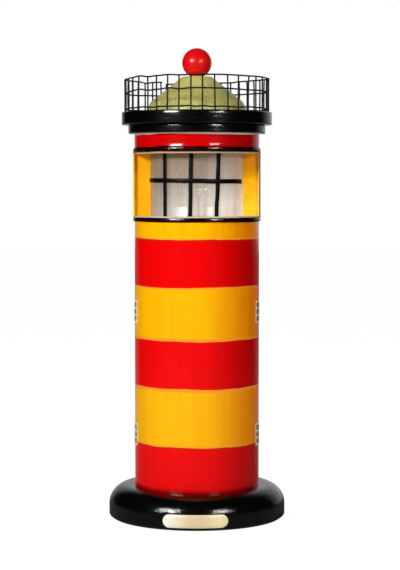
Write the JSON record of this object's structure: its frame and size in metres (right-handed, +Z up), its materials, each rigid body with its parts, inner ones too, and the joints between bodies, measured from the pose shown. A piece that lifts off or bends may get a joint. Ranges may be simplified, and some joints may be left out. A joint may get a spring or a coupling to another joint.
{
  "type": "lighthouse lamp",
  "caption": "Striped lighthouse table or porch lamp: turned base, hollow tower, open lantern room with a round bulb behind clear sheet, and a lift-off roof with gallery railing, dome and ball.",
  "frame": {"origin": "middle of the felt underside that the lamp stands on", "axes": "+Z up the tower's axis; -Y to the front, where the lantern is open; +X to the right"},
  "size_m": [0.156, 0.1576, 0.4138],
  "materials": {
    "black_gloss": "turned wood in thick gloss black enamel",
    "felt": "green baize",
    "board": "hardboard",
    "steel": "zinc-plated steel",
    "brass": "plain brass",
    "rubber": "matt rubber",
    "terminal_plastic": "moulded",
    "lead_sheath": "soft sheath",
    "plate_brass": "pale lacquered brass, bare",
    "bare_wood": "bare turned wood",
    "tower_paint": "pipe with brushed red and yellow gloss rings",
    "frame_paint": "cream brushed paint",
    "pane_paint": "black brushed paint",
    "shell_paint": "yellow brushed gloss, black rims",
    "cream_wood": "pale painted wood",
    "clear_sheet": "hazy clear rolled sheet",
    "black_tape": "black painted strips",
    "holder_black": "moulded thermoset",
    "holder_white": "unglazed",
    "bulb_metal": "rolled thread",
    "bulb_black": "vitrite",
    "bulb_clear": "clear glass",
    "tungsten": "coiled wire",
    "railing_black": "black brushed enamel on wire",
    "dome_paint": "turned wood in olive gloss",
    "ball_paint": "turned wood in red gloss"
  },
  "bodies": {
    "tower": {"base": "black_gloss", "felt_pad": "felt", "base_cover": "board", "cover_screws": "steel", "cord_grommet": "rubber", "terminal_block": "terminal_plastic", "terminal_screws": "brass", "lamp_lead": "lead_sheath", "name_plate": "plate_brass", "tower_plug": "bare_wood", "plug_screws": "steel", "tower_tube": "tower_paint", "window_frames": "frame_paint", "window_panes": "pane_paint", "lantern_floor": "cream_wood", "lantern_shell": "shell_paint", "side_boards": "shell_paint", "lantern_glass": "clear_sheet", "glazing_bars": "black_tape", "glazing_band": "black_tape", "lantern_ceiling": "cream_wood", "upper_ring": "tower_paint", "holder_cap": "holder_black", "holder_skirt": "holder_black", "holder_core": "holder_white", "holder_rings": "holder_black", "socket_shell": "brass", "socket_contact": "brass"},
    "cap": {"cap_spigot": "bare_wood", "cornice": "black_gloss", "gallery": "black_gloss", "railing_rings": "railing_black", "railing_posts": "railing_black", "dome": "dome_paint", "finial_ball": "ball_paint", "cap_rod": "steel", "cap_washer": "steel", "cap_nut": "steel"},
    "bulb_tip": {"bulb_contact": "bulb_metal"},
    "bulb": {"bulb_glass": "bulb_clear", "bulb_cap": "bulb_metal", "bulb_insulator": "bulb_black", "bulb_stem": "bulb_clear", "bulb_filament": "tungsten"}
  },
  "joints": [
    {"name": "cap_lift", "type": "slide", "parent": "tower", "child": "cap", "axis": [0, 0, 1], "range_m": [0, 0.1]},
    {"name": "bulb_travel", "type": "slide", "parent": "tower", "child": "bulb_tip", "axis": [0, 0, 1], "range_m": [0, 0.0085]},
    {"name": "bulb_turn", "type": "hinge", "parent": "bulb_tip", "child": "bulb", "pos_m": [0, 0, 0.2382], "axis": [0, 0, 1], "range_deg": [0, 1080]}
  ],
  "couplings": [
    {"joint": "bulb_travel", "follows": "bulb_turn", "m_per_rad": 0.000449}
  ]
}
